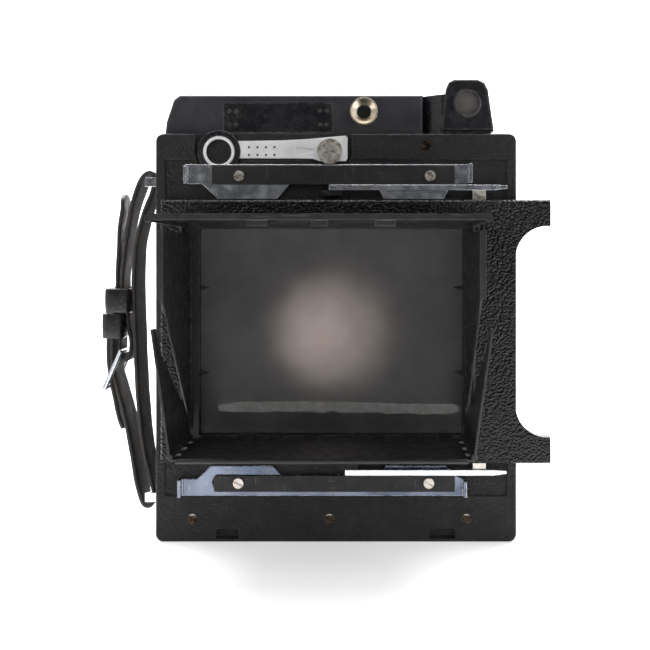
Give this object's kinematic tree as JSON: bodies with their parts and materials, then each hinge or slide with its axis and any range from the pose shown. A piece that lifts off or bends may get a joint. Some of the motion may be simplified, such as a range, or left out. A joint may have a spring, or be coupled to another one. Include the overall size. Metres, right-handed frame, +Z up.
{
  "type": "press camera",
  "caption": "Folding-bed press camera with top rangefinder, open focusing hood over a ground glass, sprung back and leather hand strap.",
  "frame": {"origin": "mouth of the tripod socket, in the plane of the base under the middle of the body", "axes": "+Z up, +Y towards the lens, so the focusing back looks along -Y, and +X to the right seen from behind"},
  "size_m": [0.2124, 0.338, 0.2147],
  "materials": {
    "leatherette": "fine grain, worn",
    "crinkle_black": "coarse crinkle paint",
    "grain_black": "fine crinkle paint",
    "satin_black": "satin paint",
    "gloss_black": "semi-gloss paint",
    "hood_black": "smooth satin paint",
    "strip_black": "matt paint",
    "chrome": "polished",
    "nickel": "worn",
    "brass": "turned",
    "steel": "brushed",
    "aluminium": "satin",
    "ground": "ground, dusty",
    "clear": "polished",
    "bellows_skin": "pleated",
    "strap_leather": "worn at the edges",
    "knob": "knurled"
  },
  "bodies": {
    "camera_body": {"body_shell": "satin_black", "body_covering": "leatherette", "back_frame": "grain_black", "slotted_screws": "nickel", "body_tracks": "aluminium", "tripod_bush": "steel", "bellows": "bellows_skin", "rangefinder_housing": "satin_black", "rangefinder_plate": "gloss_black", "rangefinder_eyepiece": "brass", "viewfinder_housing": "gloss_black", "viewfinder_eyepiece": "gloss_black", "finder_glass": "clear", "peep_pivot_screw": "nickel", "upper_lock_strip": "strip_black", "lower_lock_strip": "strip_black", "bed_hinge_pin": "steel", "strap": "strap_leather", "strap_keepers": "strap_leather", "strap_buckle": "chrome", "strap_brackets": "chrome"},
    "focusing_panel": {"panel_casting": "crinkle_black", "ground_glass": "ground", "glass_clips": "hood_black", "hood_frame": "hood_black", "hood_hinge_pins": "steel", "spring_posts": "nickel"},
    "left_leaf": {"hood_left_leaf": "hood_black"},
    "right_leaf": {"hood_right_leaf": "hood_black"},
    "bottom_leaf": {"hood_bottom_leaf": "hood_black"},
    "left_wing": {"hood_left_wing": "hood_black"},
    "right_wing": {"hood_right_wing": "hood_black"},
    "top_leaf": {"hood_top_leaf": "hood_black"},
    "upper_spring": {"spring_arm_upper": "chrome"},
    "lower_spring": {"spring_arm_lower": "chrome"},
    "upper_lock": {"slide_lock_upper": "chrome"},
    "lower_lock": {"slide_lock_lower": "chrome"},
    "peep_sight": {"peep_arm": "chrome", "peep_ring": "gloss_black"},
    "bed": {"bed_plate": "leatherette"},
    "rails": {"focus_rails": "aluminium"},
    "focus_drive": {"focus_shaft": "steel", "focus_knobs": "knob"},
    "left_body_link": {"body_link_left": "chrome"},
    "right_body_link": {"body_link_right": "chrome"},
    "left_bed_link": {"bed_link_left": "chrome"},
    "right_bed_link": {"bed_link_right": "chrome"},
    "standard": {"carriage": "aluminium", "standard_frame": "aluminium"},
    "lock_lever": {"carriage_lock": "chrome"},
    "lens": {"lens_panel": "satin_black", "shutter_case": "gloss_black", "lens_barrel": "gloss_black", "lens_glass": "clear"},
    "speed_dial": {"speed_ring": "aluminium"},
    "aperture_pointer": {"aperture_lever": "chrome"},
    "cocking": {"cocking_lever": "chrome"},
    "release": {"release_lever": "chrome"},
    "finder_frame": {"wire_finder": "chrome"},
    "catch": {"bed_catch": "chrome"}
  },
  "joints": [
    {"name": "panel_slide", "type": "slide", "parent": "camera_body", "child": "focusing_panel", "axis": [0, -1, 0], "range_m": [0, 0.013], "stiffness_N_per_m": 500, "springref_m": -0.01},
    {"name": "upper_spring_flex", "type": "hinge", "parent": "camera_body", "child": "upper_spring", "pos_m": [-0.002, -0.0466, 0.1625], "axis": [0, 0, -1], "range_deg": [0, 12.11]},
    {"name": "lower_spring_flex", "type": "hinge", "parent": "camera_body", "child": "lower_spring", "pos_m": [0.0055, -0.0466, 0.0317], "axis": [0, 0, -1], "range_deg": [0, 13.64]},
    {"name": "hood_left_fold", "type": "hinge", "parent": "focusing_panel", "child": "left_leaf", "pos_m": [-0.066, -0.052, 0.1], "axis": [0, 0, 1], "range_deg": [0, 90]},
    {"name": "hood_right_fold", "type": "hinge", "parent": "focusing_panel", "child": "right_leaf", "pos_m": [0.0594, -0.0556, 0.1], "axis": [0, 0, -1], "range_deg": [0, 90]},
    {"name": "hood_bottom_fold", "type": "hinge", "parent": "focusing_panel", "child": "bottom_leaf", "pos_m": [0, -0.0603, 0.0508], "axis": [-1, 0, 0], "range_deg": [0, 90]},
    {"name": "hood_left_wing_fold", "type": "hinge", "parent": "bottom_leaf", "child": "left_wing", "pos_m": [-0.064, -0.08, 0.052], "axis": [0, 1, 0], "range_deg": [0, 98.1]},
    {"name": "hood_right_wing_fold", "type": "hinge", "parent": "bottom_leaf", "child": "right_wing", "pos_m": [0.0574, -0.08, 0.052], "axis": [0, -1, 0], "range_deg": [0, 98.1]},
    {"name": "hood_top_raise", "type": "hinge", "parent": "focusing_panel", "child": "top_leaf", "pos_m": [0, -0.062, 0.1473], "axis": [-1, 0, 0], "range_deg": [0, 45]},
    {"name": "upper_lock_slide", "type": "slide", "parent": "camera_body", "child": "upper_lock", "axis": [1, 0, 0], "range_m": [0, 0.009]},
    {"name": "lower_lock_slide", "type": "slide", "parent": "camera_body", "child": "lower_lock", "axis": [1, 0, 0], "range_m": [0, 0.009]},
    {"name": "peep_sight_swing", "type": "hinge", "parent": "camera_body", "child": "peep_sight", "pos_m": [-0.0029, -0.0427, 0.1809], "axis": [0, 1, 0], "range_deg": [0, 90]},
    {"name": "bed_fold", "type": "hinge", "parent": "camera_body", "child": "bed", "pos_m": [-0.002, 0.046, 0.016], "axis": [-1, 0, 0], "range_deg": [-90, 0]},
    {"name": "left_brace_upper", "type": "hinge", "parent": "camera_body", "child": "left_body_link", "pos_m": [-0.002, 0.036, 0.068], "axis": [-1, 0, 0], "range_deg": [-123.58, 0]},
    {"name": "left_brace_lower", "type": "hinge", "parent": "bed", "child": "left_bed_link", "pos_m": [-0.002, 0.098, 0.021], "axis": [-1, 0, 0], "range_deg": [0, 139.25]},
    {"name": "right_brace_upper", "type": "hinge", "parent": "camera_body", "child": "right_body_link", "pos_m": [-0.002, 0.036, 0.068], "axis": [-1, 0, 0], "range_deg": [-123.58, 0]},
    {"name": "right_brace_lower", "type": "hinge", "parent": "bed", "child": "right_bed_link", "pos_m": [-0.002, 0.098, 0.021], "axis": [-1, 0, 0], "range_deg": [0, 139.25]},
    {"name": "rails_slide", "type": "slide", "parent": "bed", "child": "rails", "axis": [0, 1, 0], "range_m": [0, 0.02]},
    {"name": "focus_turn", "type": "hinge", "parent": "bed", "child": "focus_drive", "pos_m": [-0.002, 0.151, 0.0207], "axis": [-1, 0, 0], "range_deg": [0, 382.07]},
    {"name": "standard_slide", "type": "slide", "parent": "camera_body", "child": "standard", "axis": [0, 1, 0], "range_m": [0, 0.08], "deforming": ["bellows"]},
    {"name": "carriage_lock_swing", "type": "hinge", "parent": "standard", "child": "lock_lever", "pos_m": [-0.002, 0.0312, 0.0262], "axis": [0, 0, 1], "range_deg": [0, 35]},
    {"name": "lens_rise", "type": "slide", "parent": "standard", "child": "lens", "axis": [0, 0, 1], "range_m": [0, 0.012]},
    {"name": "speed_ring_turn", "type": "hinge", "parent": "lens", "child": "speed_dial", "pos_m": [-0.002, 0.02165, 0.0977], "axis": [0, 1, 0], "range_deg": [0, 150]},
    {"name": "aperture_turn", "type": "hinge", "parent": "lens", "child": "aperture_pointer", "pos_m": [-0.002, 0.0115, 0.0977], "axis": [0, 1, 0], "range_deg": [-40, 40]},
    {"name": "cocking_swing", "type": "hinge", "parent": "lens", "child": "cocking", "pos_m": [0.015, 0.0157, 0.12715], "axis": [0, 1, 0], "range_deg": [0, 30], "stiffness_Nm_per_rad": 0.03},
    {"name": "release_swing", "type": "hinge", "parent": "lens", "child": "release", "pos_m": [-0.03281, 0.0157, 0.08333], "axis": [0, 1, 0], "range_deg": [0, 12], "stiffness_Nm_per_rad": 0.03},
    {"name": "finder_rise", "type": "slide", "parent": "camera_body", "child": "finder_frame", "axis": [0, 0, 1], "range_m": [0, 0.06]},
    {"name": "catch_press", "type": "slide", "parent": "camera_body", "child": "catch", "axis": [0, 0, -1], "range_m": [0, 0.0018], "stiffness_N_per_m": 400}
  ],
  "couplings": [
    {"joint": "upper_spring_flex", "follows": "panel_slide", "rad_per_m": 16.129},
    {"joint": "lower_spring_flex", "follows": "panel_slide", "rad_per_m": 18.182},
    {"joint": "hood_left_wing_fold", "follows": "hood_bottom_fold", "ratio": 1.0889},
    {"joint": "hood_right_wing_fold", "follows": "hood_bottom_fold", "ratio": 1.0889},
    {"joint": "left_brace_upper", "follows": "bed_fold", "ratio": 1.372},
    {"joint": "left_brace_lower", "follows": "bed_fold", "ratio": -1.5461},
    {"joint": "right_brace_upper", "follows": "bed_fold", "ratio": 1.372},
    {"joint": "right_brace_lower", "follows": "bed_fold", "ratio": -1.5461},
    {"joint": "focus_turn", "follows": "rails_slide", "rad_per_m": 333.33}
  ]
}
